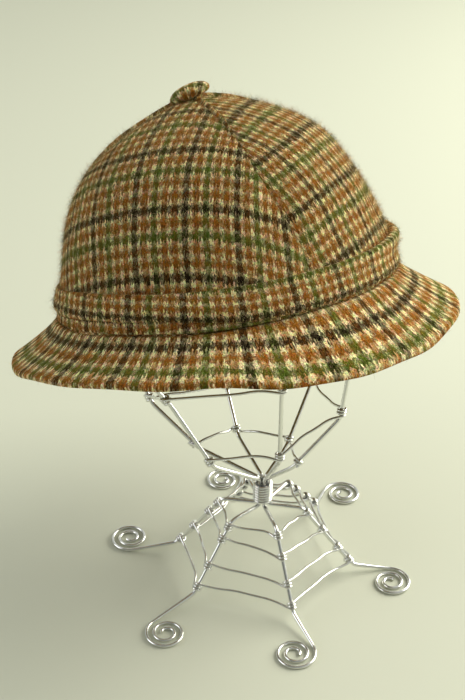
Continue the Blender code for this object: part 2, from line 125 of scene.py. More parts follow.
tweed = {
    "columnThread": 0.00069,    # spacing of the threads that run up and down
    "rowThread": 0.00088,       # spacing of the threads that run across
    "cellThreads": 8,           # one coloured block and the cream block beside it
    "colourShare": 0.57,        # of a cell's width
    "stripes": ("dark", "rust", "green", "rust", "rust"),
    "cream": "#F8E4AA",
    "dark": "#120904",
    "rust": "#9C601E",
    "green": "#50601C",
    "waver": 0.0008,            # how far the yarns wander
    "waverScale": 700,          # turns of the wandering in a metre
    "streak": 0.0056,           # how far the brushed nap drags the colours up and down
    "streakWidth": 0.0009,      # real ones are half as wide; drawn coarser to show in the render
    "streakLength": 0.0042,
    "darkWins": 0.55,           # how much the darker of two crossing yarns shows through
    "columnShows": (0.14, 0.66),    # of a column's yarn, where it lies under and over a row
    "heather": (0.3, 1.82),     # darkest and lightest wool in one yarn
    "heatherFrom": (0.7, 1.3),  # the noise that gives them
    "fleck": 0.0008,            # fibres are finer; drawn coarser to show in the render
    "tint": 0.5,                # how far the wools differ in hue
    "tintPatch": 0.0018,
    "yarnRelief": 0.0005, "reliefShows": 0.9, "fleckRelief": 1.2,
    "roughness": 0.95, "specular": 0.05,
    "sheen": 0.42, "sheenRoughness": 0.36,
    "sheenTint": "#C8AC6C",
}


def makeTweed():
    material, tree, shader = newMaterial("woolTweed", {
        "Roughness": tweed["roughness"], "Specular IOR Level": tweed["specular"],
        "Sheen Weight": tweed["sheen"], "Sheen Roughness": tweed["sheenRoughness"],
        "Sheen Tint": linear(tweed["sheenTint"])})

    cloth = addNode(tree, "ShaderNodeUVMap", uv_map="weave")
    solid = addNode(tree, "ShaderNodeTexCoord").outputs["Object"]
    # the yarns wander, and the nap drags their colours up and down in streaks
    wander = addNoise(tree, solid, tweed["waverScale"], 2)
    wander = addVectorMath(tree, "SUBTRACT", wander.outputs["Color"], (0.5, 0.5, 0.5))
    wander = addVectorMath(tree, "MULTIPLY_ADD", wander, [2 * tweed["waver"]] * 3, cloth)
    parts = addNode(tree, "ShaderNodeSeparateXYZ", {0: wander})
    finer = (1 / tweed["streakWidth"], 1 / tweed["streakLength"], 1)
    nap = addVectorMath(tree, "MULTIPLY", cloth, finer)
    nap = addNoise(tree, nap, 1, 2)
    drag = addMath(tree, "SUBTRACT", nap, 0.5)
    upward = addMath(tree, "MULTIPLY_ADD", drag, 2 * tweed["streak"], parts.outputs["Y"])
    # the order of colours, read along the threads
    stripes = tweed["stripes"]
    stops = []
    for i, name in enumerate(stripes):
        stops += [(i / len(stripes), linear(tweed[name])),
                  ((i + tweed["colourShare"]) / len(stripes), linear(tweed["cream"]))]
    counts, yarns, rounds = [], [], []
    for place, spacing in ((parts.outputs["X"], tweed["columnThread"]), (upward, tweed["rowThread"])):
        thread = addMath(tree, "MULTIPLY", place, 1 / spacing)
        counts.append(addMath(tree, "FLOOR", thread))
        share = addMath(tree, "MULTIPLY", thread, 1 / (tweed["cellThreads"] * len(stripes)))
        share = addMath(tree, "FRACT", share)
        yarn = addNode(tree, "ShaderNodeValToRGB", {"Fac": share})
        ramp = yarn.color_ramp
        ramp.interpolation = "CONSTANT"
        while len(ramp.elements) < len(stops):
            ramp.elements.new(1)
        for element, (position, colour) in zip(ramp.elements, stops):
            element.position, element.color = position, colour
        yarns.append(yarn)
        half = addMath(tree, "MULTIPLY", thread, pi)
        half = addMath(tree, "SINE", half)
        rounds.append(addMath(tree, "ABSOLUTE", half))
    # 2/2 twill: over two, under two, one thread further along in each row. Four threads are 0, 0.25, 0.5
    # and 0.75, and the first two lie on top
    step = addMath(tree, "ADD", counts[0], counts[1])
    step = addMath(tree, "MULTIPLY", step, 0.25)
    step = addMath(tree, "FRACT", step)
    columnOnTop = addMath(tree, "LESS_THAN", step, 0.4)
    columnShows = addRange(tree, columnOnTop, (0, 1), tweed["columnShows"])
    weave = addNode(tree, "ShaderNodeMix", {0: columnShows, 6: yarns[1], 7: yarns[0]}, data_type="RGBA")
    darker = addNode(tree, "ShaderNodeMix", {0: 1.0, 6: yarns[0], 7: yarns[1]}, data_type="RGBA",
                     blend_type="DARKEN").outputs[2]
    weave = addNode(tree, "ShaderNodeMix", {0: tweed["darkWins"], 6: weave.outputs[2], 7: darker},
                    data_type="RGBA").outputs[2]
    # heather: each yarn is spun from wools of different shades
    fleck = addNoise(tree, solid, 1 / tweed["fleck"], 3)
    shade = addMath(tree, "ADD", fleck, nap)
    tone = addRange(tree, shade, tweed["heatherFrom"], tweed["heather"])
    weave = addNode(tree, "ShaderNodeVectorMath", {0: weave, "Scale": tone.outputs[0]}, operation="SCALE")
    tints = addNoise(tree, solid, 1 / tweed["tintPatch"], 2)
    tints = addVectorMath(tree, "MULTIPLY_ADD", tints.outputs["Color"], [2 * tweed["tint"]] * 3,
                          [1 - tweed["tint"]] * 3)
    weave = addVectorMath(tree, "MULTIPLY", weave, tints)
    tree.links.new(weave.outputs[0], shader.inputs["Base Color"])
    # round yarns with loose fibre on them
    relief = addNode(tree, "ShaderNodeMix", {0: columnOnTop, 2: rounds[1], 3: rounds[0]})
    relief = addMath(tree, "MULTIPLY_ADD", fleck, tweed["fleckRelief"], relief)
    addBump(tree, shader, relief, tweed["reliefShows"], tweed["yarnRelief"])
    return material


# aluminium wire, drawn through a die and bent by hand: bright, with fine scratches and dull patches

wireFinish = {
    "colour": "#E6E6E2", "roughness": 0.09, "dullRoughness": 0.2,
    "dullPatch": 0.006, "dullFrom": (0.35, 0.7),    # size of a patch, and the noise that makes it
    "scratchScale": 2500, "scratchDepth": 0.00005, "scratchShows": 0.12,
}


def makeWireMetal():
    material, tree, shader = newMaterial("drawnAluminium", {
        "Base Color": linear(wireFinish["colour"]), "Metallic": 1.0})
    solid = addNode(tree, "ShaderNodeTexCoord").outputs["Object"]
    patches = addNoise(tree, solid, 1 / wireFinish["dullPatch"], 4)
    dull = addRange(tree, patches, wireFinish["dullFrom"],
                    (wireFinish["roughness"], wireFinish["dullRoughness"]))
    tree.links.new(dull.outputs[0], shader.inputs["Roughness"])
    scratches = addNoise(tree, solid, wireFinish["scratchScale"], 2)
    addBump(tree, shader, scratches, wireFinish["scratchShows"], wireFinish["scratchDepth"])
    return material


# painted board for the floor: matt and pale

floorFinish = {
    "colour": "#CDCFBB", "roughness": 0.75,
    "grainScale": 400, "grainDepth": 0.0002, "grainShows": 0.15,
}


def makeFloorPaint():
    material, tree, shader = newMaterial("mattPaint", {
        "Base Color": linear(floorFinish["colour"]), "Roughness": floorFinish["roughness"]})
    solid = addNode(tree, "ShaderNodeTexCoord").outputs["Object"]
    grain = addNoise(tree, solid, floorFinish["grainScale"], 3)
    addBump(tree, shader, grain, floorFinish["grainShows"], floorFinish["grainDepth"])
    return material


woolTweed = makeTweed()
drawnAluminium = makeWireMetal()
mattPaint = makeFloorPaint()
print("materials made")


# small tools for shapes


def table(columns, rows):
    # rows of values, each with the names of its columns
    return [dict(zip(columns.split(), row)) for row in rows]


def throughPoints(knots, x):
    # a smooth curve through (x, y) knots, with one spare knot before and after
    for i in range(1, len(knots) - 2):
        if x <= knots[i + 1][0]:
            break
    (x0, y0), (x1, y1), (x2, y2), (x3, y3) = knots[i - 1:i + 3]
    span = x2 - x1
    s = (x - x1) / span
    leave, arrive = (y2 - y0) / (x2 - x0) * span, (y3 - y1) / (x3 - x1) * span
    return ((2 * s ** 3 - 3 * s ** 2 + 1) * y1 + (s ** 3 - 2 * s ** 2 + s) * leave
            + (3 * s ** 2 - 2 * s ** 3) * y2 + (s ** 3 - s ** 2) * arrive)


def roundTheHat(rows, azimuth, column):
    # rows of a table that closes on itself, read at an azimuth in radians
    knots = [(row["azimuth"] + turn, row[column]) for turn in (-360, 0, 360) for row in rows]
    return throughPoints(knots, (degrees(azimuth) + 180) % 360 - 180)


def direction(azimuth):
    return Vector((cos(azimuth), sin(azimuth), 0))


def darkMiddle(thread):
    # the middle of the dark block, in the weave's own measure
    return tweed["cellThreads"] * tweed["colourShare"] / 2 * tweed[thread]


def wave(azimuth, turns, phase):
    return sin(azimuth * turns + phase)


def clothMesh(name, points, weave, aroundClosed, sectionClosed):
    # points and weave are grids; a closed direction has one more row or column of weave than of points
    rows, columns = len(points), len(points[0])
    faces, corners = [], []
    for i in range(rows if aroundClosed else rows - 1):
        for j in range(columns if sectionClosed else columns - 1):
            nextI, nextJ = (i + 1) % rows, (j + 1) % columns
            faces.append((i * columns + j, i * columns + nextJ, nextI * columns + nextJ, nextI * columns + j))
            for spot in (weave[i][j], weave[i][j + 1], weave[i + 1][j + 1], weave[i + 1][j]):
                corners += spot
    mesh = bpy.data.meshes.new(name)
    mesh.from_pydata([tuple(p) for row in points for p in row], [], faces)
    mesh.uv_layers.new(name="weave").data.foreach_set("uv", corners)
    mesh.shade_smooth()
    return mesh


def addPiece(name, data, material, place=Matrix(), stands=()):
    data.transform(place)
    data.materials.append(material)
    piece = bpy.data.objects.new(name, data)
    bpy.context.scene.collection.objects.link(piece)
    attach(piece, "root")
    if stands:
        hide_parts(*stands)
    return piece


# the hat's pose on the stand

# it leans back and to the left, and its crown's foot lies so far up along the lean from the neck's top
pose = {"neckTop": 0.067, "back": 17, "left": 9, "rise": 0.119, "shift": -0.0035}


def leaning():
    up = Vector((-tan(radians(pose["left"])), tan(radians(pose["back"])), 1)).normalized()
    right = (Vector((1, 0, 0)) - up * up.x).normalized()
    turned = Matrix((right, up.cross(right), up)).transposed().to_4x4()
    return Matrix.Translation((0, 0, pose["neckTop"])) @ turned


hatInStand = leaning() @ Matrix.Translation((pose["shift"], 0, pose["rise"]))
hatPlace = standPlace @ hatInStand

# crown: four gores of tweed

crown = {
    "length": 0.210, "width": 0.178, "turn": 35.5,     # the oval of the foot, outside
    "height": 0.1136,
    "apexShift": (-0.0053, -0.0053), "slant": 0.067,
    "wall": 0.002,
    "outline": [(0, 1), (0.12, 0.970), (0.28, 0.920), (0.45, 0.864), (0.60, 0.783), (0.73, 0.680),
                (0.84, 0.517), (0.92, 0.341), (0.97, 0.188), (1, 0)],   # height, size
    "rowsBetween": 7, "columns": 48,
    # where the crown stands out from its oval or falls short of it, how far round and how far up or down
    "swellings": table("by azimuth across height reach", [
        (0.0024, 32, 42, 0.27, 0.17),
        (-0.0042, 155, 55, 0.97, 0.07),
        (-0.0014, 180, 50, 0.00, 0.22),
    ]),
    "ripple": 0.0004,                                   # the cloth is nowhere quite even
    "swing": -9.5, "swingFrom": 0.28, "swingTo": 0.68,  # the seams swing round on their way up
    "puff": 0.0011, "puffReach": 13,                    # the gores fill out, save near the seams
    "seamGroove": 0.0003, "seamReach": 1.8, "seamGap": 0.0001,
    "leastSize": 0.03,                                  # the gores stop here, under the button
    # swellings, seams and ripples fade on the way to the apex, where the size times its number is under 1
    "swellingFade": 4, "seamFade": 1.6, "rippleFade": 3, "rippleFadeUp": 5,
    # a gore's length goes on past foot and apex, to these heights, and is read no higher than the last
    "spareLow": -0.1, "spareHigh": 1.3, "spareLength": 0.05, "highestRead": 1.25,
    # how far the rows sink towards the seams, at each height
    "droop": [(-0.3, 0.2), (0, 0.2), (0.2, 0.2), (0.45, 0.16), (0.75, 0.1), (0.87, 0.07), (1, 0), (1.2, 0)],
}
# each gore from its seam. Middle is the azimuth of the thread that runs straight up, half the way from
# there to a seam, darkRow the height where a dark row crosses the middle, and darkColumn a dark column's
# distance to the right of it
goreCuts = table("seam middle half darkRow darkColumn droop", [
    (-168, -113, 53, 0.57, 0.0216, 1.0),
    (-55, -3, 54, 0.527, -0.0257, 0.62),
    (46, 78, 37, 0.55, 0.004, 0.5),
    (120, 151, 36, 0.6, -0.006, 0.5),
])


def headRadius(azimuth):
    long, short = crown["length"] / 2, crown["width"] / 2
    turn = azimuth - radians(crown["turn"])
    return long * short / hypot(short * cos(turn), long * sin(turn))


def crownOutline():
    rows = crown["outline"]
    foot, second, last = rows[0], rows[1], rows[-2]
    rows = [(2 * foot[0] - second[0], 2 * foot[1] - second[1])] + rows + [(last[0], -last[1])]
    fine = []
    steps = crown["rowsBetween"]
    for i in range(1, len(rows) - 2):
        for step in range(steps):
            spot = i + step / steps
            fine.append(tuple(throughPoints([(k, row[part]) for k, row in enumerate(rows)], spot)
                              for part in (0, 1)))
    return fine + [crown["outline"][-1]]


outlineRows = crownOutline()


def crownSize(height):
    for low, high in zip(outlineRows, outlineRows[1:]):
        if height <= high[0]:
            break
    share = (height - low[0]) / (high[0] - low[0])
    return low[1] + (high[1] - low[1]) * share


def swing(height):
    span = crown["swingTo"] - crown["swingFrom"]
    return radians(crown["swing"]) * min(1, max(0, (height - crown["swingFrom"]) / span))


def seamDip(azimuth, height):
    off = min(abs((degrees(azimuth - swing(height)) - cut["seam"] + 180) % 360 - 180) for cut in goreCuts)
    return (crown["puff"] * max(0, 1 - off / crown["puffReach"]) ** 2
            + crown["seamGroove"] * max(0, 1 - off / crown["seamReach"]) ** 2)


def crownPoint(azimuth, height, size=None, dipped=False):
    size = crownSize(height) if size is None else size
    radius = headRadius(azimuth) * size
    for swelling in crown["swellings"]:
        off = (degrees(azimuth) - swelling["azimuth"] + 180) % 360 - 180
        away = hypot(off / swelling["across"], (height - swelling["height"]) / swelling["reach"])
        radius += swelling["by"] * exp(-away ** 2) * min(1, crown["swellingFade"] * size)
    if dipped:
        radius -= seamDip(azimuth, height) * min(1, crown["seamFade"] * size) ** 2
    point = direction(azimuth) * radius
    point.z = height * crown["height"] + crown["slant"] * point.x * height ** 2
    return point + Vector((*crown["apexShift"], 0)) * height ** 2


def offCrown(azimuth, height, distance):
    step = 0.02     # up and round, to find which way the surface faces
    up = crownPoint(azimuth, min(height + step, 1)) - crownPoint(azimuth, max(height - step, 0))
    along = crownPoint(azimuth + step, height) - crownPoint(azimuth - step, height)
    return crownPoint(azimuth, height) + along.cross(up).normalized() * distance


def goreArc(azimuth):
    # length up the middle of a gore at each height, as knots, with a spare one below and one above
    low, length, before = crown["spareLow"], 0, crownPoint(azimuth, 0)
    knots = [(low, low * crown["height"])]
    for height, size in outlineRows:
        point = crownPoint(azimuth, height, size)
        length += (point - before).length
        if height > knots[-1][0]:
            knots.append((height, length))
        before = point
    return knots + [(crown["spareHigh"], length + crown["spareLength"])]


def makeGore(number):
    cut, following = goreCuts[number], goreCuts[(number + 1) % len(goreCuts)]
    columns = crown["columns"]
    start, width = radians(cut["seam"]), radians((following["seam"] - cut["seam"]) % 360)
    middle, half = radians(cut["middle"]), radians(cut["half"])
    arc = goreArc(middle)
    darkUp = throughPoints(arc, cut["darkRow"])
    points, weave = [], []
    for height, size in [row for row in outlineRows if row[1] > crown["leastSize"]]:
        first = start + swing(height)
        azimuths = [first + (1 - cos(pi * j / columns)) / 2 * width for j in range(columns + 1)]
        hair = crown["seamGap"] / (headRadius(azimuths[0]) * size)
        azimuths[0] += hair
        azimuths[-1] -= hair
        ring = []
        for azimuth in azimuths:
            ripple = crown["ripple"] * (wave(azimuth, 5, 1 + height * 7) + wave(azimuth, 11, 3 - height * 12))
            ripple *= min(1, crown["rippleFade"] * size) * min(1, (1 - height) * crown["rippleFadeUp"])
            ring.append(crownPoint(azimuth, height, size, True) + direction(azimuth) * ripple)
        across = [0.0]
        for here, there in zip(ring, ring[1:]):
            across.append(across[-1] + (there - here).length)
        for j in range(columns):
            if azimuths[j + 1] > middle:
                break
        share = (middle - azimuths[j]) / (azimuths[j + 1] - azimuths[j])
        atMiddle = across[j] + (across[j + 1] - across[j]) * share
        cloth = []
        for j, azimuth in enumerate(azimuths):
            side = (azimuth - middle) / half
            droop = throughPoints(crown["droop"], height) * cut["droop"]
            up = throughPoints(arc, min(crown["highestRead"], height + droop * side ** 2))
            cloth.append((across[j] - atMiddle - cut["darkColumn"] + darkMiddle("columnThread"),
                          darkUp - up + darkMiddle("rowThread")))
        points.append(ring)
        weave.append(cloth)
    mesh = clothMesh(f"crownGore{number + 1}", points, weave, False, False)
    gore = addPiece(mesh.name, mesh, woolTweed, hatPlace, [f"crown_panel_{number + 1}"])
    wall = gore.modifiers.new("wall", "SOLIDIFY")
    wall.thickness = crown["wall"]
    wall.offset = -1
    return gore


gores = [makeGore(number) for number in range(len(goreCuts))]
print("crown made")

# brim: two layers of tweed, turned at the edge

brim = {
    "reach": 0.030, "drop": 0.0235, "wall": 0.003, "hem": 0.0001, "steps": 264,
    "innerOuts": [-0.002, 0.001, 0.003],        # distances from the crown's foot
    "outSteps": 9, "rollSteps": 8,
    # drop and reach are shares of the lengths above, darkRow is millimetres out from the crown's foot
    "rows": table("azimuth drop reach darkRow", [
        (-170, 0.72, 0.99, 6.0),
        (-140, 0.61, 0.98, 5.7),
        (-115, 0.64, 0.97, 5.9),
        (-90, 0.86, 1.00, 8.0),
        (-60, 1.24, 1.00, 10.8),
        (-30, 1.30, 1.00, 10.6),
        (-10, 1.22, 1.08, 9.6),
        (5, 1.08, 1.14, 9.0),
        (35, 0.97, 1.09, 8.7),
        (80, 0.90, 1.00, 8.7),
        (140, 0.90, 1.00, 7.5),
    ]),
    "bow": 0.12,            # it falls more steeply near the crown
    "ripple": 0.0005,
    # how far the inner edge turns up against the crown, in millimetres at an azimuth
    "rise": [(-310, 0), (-270, 0), (-200, 2.2), (-165, 3.2), (-140, 3.2), (-118, 2.4), (-101, 0.8), (-88, 0),
             (0, 0), (100, 0)],
    "riseReach": 0.005034,
    "rowStretch": 0.97,
    # azimuths, and how many dark columns lie between them and the one on the left
    "darkColumns": [(-310, -10.1), (-270, -7.9), (-230, -5.6), (-190, -3.35), (-160, -1.62), (-133.4, 0),
                    (-117.8, 1), (-102.3, 2), (-84.3, 3), (-62.4, 4), (-38, 5), (0, 7.1), (45, 9.3),
                    (90, 11.7), (120, 13.4)],
    "joinAt": 90,           # azimuth where the strip of cloth is joined
}


def footArc(azimuth, start):
    # length round the crown's foot from one azimuth to another, in short steps
    steps = max(1, ceil(abs(azimuth - start) / 0.05))
    step = (azimuth - start) / steps
    return sum(headRadius(start + (i + 0.5) * step) * step for i in range(steps))


def columnRepeat():
    return tweed["cellThreads"] * len(tweed["stripes"]) * tweed["columnThread"]


def brimFall(azimuth, out):
    share = max(0, out) / (brim["reach"] * roundTheHat(brim["rows"], azimuth, "reach"))
    drop = brim["drop"] * roundTheHat(brim["rows"], azimuth, "drop")
    ripple = brim["ripple"] * share * (wave(azimuth, 9, 0.5) + wave(azimuth, 14, 2))
    rise = throughPoints(brim["rise"], degrees(azimuth)) / 1000 * exp(-max(0, out) / brim["riseReach"])
    return brim["hem"] + drop * share * (1 + brim["bow"] * (1 - share)) + ripple - rise


def brimPoint(azimuth, out, below=0.0):
    point = direction(azimuth) * (headRadius(azimuth) + out)
    point.z = -brimFall(azimuth, out) - below
    return point


def makeBrim():
    points, weave = [], []
    steps, outSteps, rollSteps = brim["steps"], brim["outSteps"], brim["rollSteps"]
    lastInner = brim["innerOuts"][-1]
    start = radians(brim["joinAt"] - 360)
    for i in range(steps + 1):
        azimuth = start + 2 * pi * i / steps
        reach = brim["reach"] * roundTheHat(brim["rows"], azimuth, "reach")
        slope = (brimFall(azimuth, reach) - brimFall(azimuth, 0)) / reach
        wall, roll = brim["wall"] * hypot(1, slope), brim["wall"] / 2
        span = reach - roll - lastInner
        outs = brim["innerOuts"] + [lastInner + span * k / outSteps for k in range(1, outSteps + 1)]
        section = [brimPoint(azimuth, out) for out in outs]
        for k in range(1, rollSteps):       # round the rolled edge
            angle = pi * k / rollSteps
            section.append(brimPoint(azimuth, reach - roll + roll * sin(angle), wall * (1 - cos(angle)) / 2))
        section += [brimPoint(azimuth, out, wall) for out in reversed(outs)]
        column = throughPoints(brim["darkColumns"], degrees(azimuth)) * columnRepeat()
        column += darkMiddle("columnThread")
        darkRow = roundTheHat(brim["rows"], azimuth, "darkRow") / 1000
        down, cloth, before = outs[0], [], section[0]
        for point in section + [section[0]]:
            down += (point - before).length / hypot(1, slope)
            before = point
            cloth.append((column, (down - darkRow) * brim["rowStretch"] + darkMiddle("rowThread")))
        weave.append(cloth)
        if i < steps:
            points.append(section)
    mesh = clothMesh("sewnBrim", points, weave, True, True)
    mesh.flip_normals()
    return addPiece("sewnBrim", mesh, woolTweed, hatPlace, ["brim"])


brimPiece = makeBrim()
print("brim made")

# band: a folded strip of the same tweed wrapped round the crown's foot, with the wrap's lower fold
# under it

band = {
    "wall": 0.0020, "flare": 0.0042, "gap": 0.0003, "steps": 300,
    "overFold": 0.3,            # how much of the fold's thickness is still felt at the top
    "innerShare": 0.12,         # how much of the flare the inner face follows; the rest fattens the roll
    "crestAt": 0.3,             # where the rolled top is highest, between its inner and outer face
    "shoulder": 0.85,           # how far the roll's outer side reaches down, as a share of its half width
    "fallShare": 0.55,          # how much of the outer face falls back towards the crown
    "tuck": {"depth": 0.0011, "reach": 0.0016},                         # at the lower edge
    "crease": {"height": 0.0163, "depth": 0.0008, "width": 0.001104},   # at the left end of the view
    "innerShares": (0.03, 0.5, 0.9), "rollSteps": 12, "faceSteps": 14,
    # top, low and darkRow are heights in millimetres, edge is the share of the wall left at the top
    "rows": table("azimuth top low flare edge crease darkRow", [
        (-170, 20.5, 9.0, 0.00, 1.0, 1.0, 13.0),
        (-148, 23.4, 9.0, 0.05, 1.0, 1.0, 13.8),
        (-132, 24.2, 9.8, 0.08, 1.0, 0.5, 13.4),
        (-118, 23.2, 9.0, 0.06, 1.0, 0.0, 12.0),
        (-109, 22.2, 8.3, 0.02, 0.7, 0.0, 10.2),
        (-95, 21.2, 5.4, 0.00, 0.35, 0.0, 6.8),
        (-82, 20.6, 2.2, 0.00, 0.3, 0.0, 4.4),
        (-60, 20.2, 1.0, 0.01, 0.35, 0.0, 3.4),
        (-40, 20.0, 1.5, 0.06, 0.8, 0.0, 3.6),
        (-15, 20.3, 1.8, 0.50, 1.0, 0.0, 4.2),
        (10, 21.5, 1.5, 1.00, 1.0, 0.0, 4.2),
        (50, 22.5, 0.5, 0.50, 1.0, 0.2, 4.5),
        (100, 22.0, 2.0, 0.10, 1.0, 0.8, 7.0),
        (150, 20.5, 7.0, 0.00, 1.0, 1.0, 12.0),
    ]),
    "rowRepeat": 0.026,
    "darkColumnAt": -101.7, "columnRepeat": 0.030,
}
fold = {
    "height": 0.013, "wall": 0.0010, "start": -74, "sweep": 196, "margin": 6, "steps": 160,
    # how far its lower edge lies above the crown's foot, in millimetres
    "low": [(-300, 0), (-270, 0), (-200, 2.5), (-165, 3.6), (-140, 3.6), (-118, 2.8), (-101, 1.0), (-88, 0),
            (-70, 0), (0, 0)],
    # its section, from the inside up and down the outer face: share of the height, share of the wall
    "section": [(0, 0.1), (0.5, 0), (1, 0), (1.04, 0.5), (1, 1), (0.7, 1.15), (0.45, 1.25), (0.2, 1.3),
                (0.05, 1.15), (0, 0.8)],
    "endShare": 0.25, "startGrowth": 5, "endGrowth": 4,     # it comes to a low end on both sides
    "darkRow": 0.0105,
}


def bandColumn(azimuth):
    # the columns of band and fold run straight up
    return (footArc(azimuth, radians(band["darkColumnAt"])) * columnRepeat() / band["columnRepeat"]
            + darkMiddle("columnThread"))


def bandRow(above):
    repeat = tweed["cellThreads"] * len(tweed["stripes"]) * tweed["rowThread"]
    return above * repeat / band["rowRepeat"] + darkMiddle("rowThread")


def overFold(azimuth):
    # how far the band has climbed onto the fold, from 0 to 1, over a margin at both of the fold's ends
    turned = (fold["start"] + fold["margin"] - degrees(azimuth)) % 360
    return min(1, max(0, min(turned, fold["sweep"] + 2 * fold["margin"] - turned) / (2 * fold["margin"])))


def makeBand():
    crease, tuck, wall = band["crease"], band["tuck"], band["wall"]
    rollSteps, faceSteps = band["rollSteps"], band["faceSteps"]
    points, weave = [], []
    start = radians(brim["joinAt"] - 360)
    for i in range(band["steps"] + 1):
        azimuth = start + 2 * pi * i / band["steps"]
        here = {column: roundTheHat(band["rows"], azimuth, column) for column in band["rows"][0]}
        top, low, darkRow = here["top"] / 1000, here["low"] / 1000, here["darkRow"] / 1000
        flare = max(0, here["flare"]) * band["flare"]
        edge, depth = max(0, here["edge"]), max(0, here["crease"])
        lift = band["gap"] + (fold["wall"] + band["gap"]) * overFold(azimuth)
        inner = band["gap"] + (lift - band["gap"]) * band["overFold"] * edge + flare * band["innerShare"]
        outer = inner + wall * edge + flare * (1 - band["innerShare"])
        crest = inner + (outer - inner) * band["crestAt"]
        shoulder = top - (outer - crest) * band["shoulder"]
        # from the inside of the lower edge up, over the rolled top and down the outer face: height, distance
        section = [(low + (shoulder - low) * share, lift + (inner - lift) * share)
                   for share in band["innerShares"]]
        for k in range(rollSteps + 1):
            angle = pi * k / rollSteps
            side, bottom = (inner, top - (crest - inner)) if angle < pi / 2 else (outer, shoulder)
            section.append((bottom + (top - bottom) * sin(angle), crest + (side - crest) * abs(cos(angle))))
        for k in range(1, faceSteps + 1):
            height = shoulder - (shoulder - low) * k / faceSteps
            # below the roll the face falls back to one wall off what it lies on
            back = min(1, (shoulder - height) / (band["fallShare"] * (shoulder - low)))
            face = outer + (lift + wall - outer) * (3 * back ** 2 - 2 * back ** 3)
            face -= crease["depth"] * depth * exp(-((height - crease["height"]) / crease["width"]) ** 2)
            face -= tuck["depth"] * max(0, 1 - (height - low) / tuck["reach"])
            section.append((height, face))
        points.append([offCrown(azimuth, max(0, height) / crown["height"], distance)
                       for height, distance in section])
        ups = [low]         # how far up the cloth each point lies, measured from the lower edge over the top
        for (height, distance), (below, beside) in zip(section[-2::-1], section[:0:-1]):
            ups.insert(0, ups[0] + hypot(height - below, distance - beside))
        cloth = [(bandColumn(azimuth), bandRow(darkRow - up)) for up in ups]
        weave.append(cloth + cloth[:1])
    mesh = clothMesh("wrappedBand", points[:-1], weave, True, True)
    return addPiece("wrappedBand", mesh, woolTweed, hatPlace, ["band"])


def makeFold():
    points, weave = [], []
    for i in range(fold["steps"] + 1):
        share = i / fold["steps"]
        azimuth = radians(fold["start"] - fold["sweep"] * share)
        low = throughPoints(fold["low"], degrees(azimuth)) / 1000
        full = fold["endShare"] + min(fold["startGrowth"] * share, fold["endGrowth"] * (1 - share))
        top = low + (fold["height"] - low) * min(1, full)
        section, cloth = [], []
        for level, depth in fold["section"]:
            height = low + (top - low) * level
            section.append(offCrown(azimuth, height / crown["height"], band["gap"] + fold["wall"] * depth))
            cloth.append((bandColumn(azimuth), bandRow(fold["darkRow"] - height)))
        points.append(section)
        weave.append(cloth + cloth[:1])
    mesh = clothMesh("wrapLowerFold", points, weave, False, True)
    mesh.flip_normals()
    return addPiece("wrapLowerFold", mesh, woolTweed, hatPlace, ["band_fold"])


bandPiece = makeBand()
foldPiece = makeFold()
print("band made")

# button: a wooden mould covered in the same tweed

button = {
    "diameter": 0.024, "thickness": 0.0078, "tilt": 16, "sides": 40,
    # from the middle of its face round the rim to the foot: share of the radius, share of the thickness
    "outline": [(0.02, 1), (0.2, 0.99), (0.38, 0.965), (0.56, 0.91), (0.72, 0.82), (0.86, 0.69), (0.95, 0.55),
                (1, 0.4), (0.99, 0.26), (0.95, 0.13), (0.86, 0.04), (0.75, 0), (0.6, -0.03), (0.52, -0.12),
                (0.5, -0.3), (0.02, -0.3)],
    "gathers": 10, "gatherDepth": 0.012,        # under the rim
    "darkColumn": 0.0085, "darkRow": 0.0070,
}


def makeButton():
    radius = button["diameter"] / 2
    points, weave = [], []
    for i in range(button["sides"] + 1):
        azimuth = 2 * pi * i / button["sides"]
        section, cloth, along, before = [], [], 0, None
        for share, height in button["outline"]:
            tuck = 1 + button["gatherDepth"] * wave(azimuth, button["gathers"], 0) * (1 - height) ** 2
            point = direction(azimuth) * radius * share * tuck
            point.z = height * button["thickness"]
            along += (point - before).length if before else radius * share
            before = point
            section.append(point)
            cloth.append((cos(azimuth) * along - button["darkColumn"] + darkMiddle("columnThread"),
                          button["darkRow"] - sin(azimuth) * along + darkMiddle("rowThread")))
        weave.append(cloth)
        if i < button["sides"]:
            points.append(section)
    mesh = clothMesh("coveredButton", points, weave, True, False)
    mesh.flip_normals()
    seat = Matrix.Translation(crownPoint(0, 1)) @ Matrix.Rotation(radians(-button["tilt"]), 4, "Y")
    return addPiece("coveredButton", mesh, woolTweed, hatPlace @ seat, ["top_button"])


buttonPiece = makeButton()
print("button made")

# loose fibre: short woollen hairs that stand off the cloth, each the colour of the yarn it comes from

fibre = {
    "thickness": 0.00009, "length": (0.0014, 0.0044), "lift": (0.2, 1.4), "curl": 0.5,
    "links": 3, "taper": 0.7,
    "counts": {"gore": 20000, "brim": 22000, "band": 12000, "fold": 1600, "button": 1200},
}


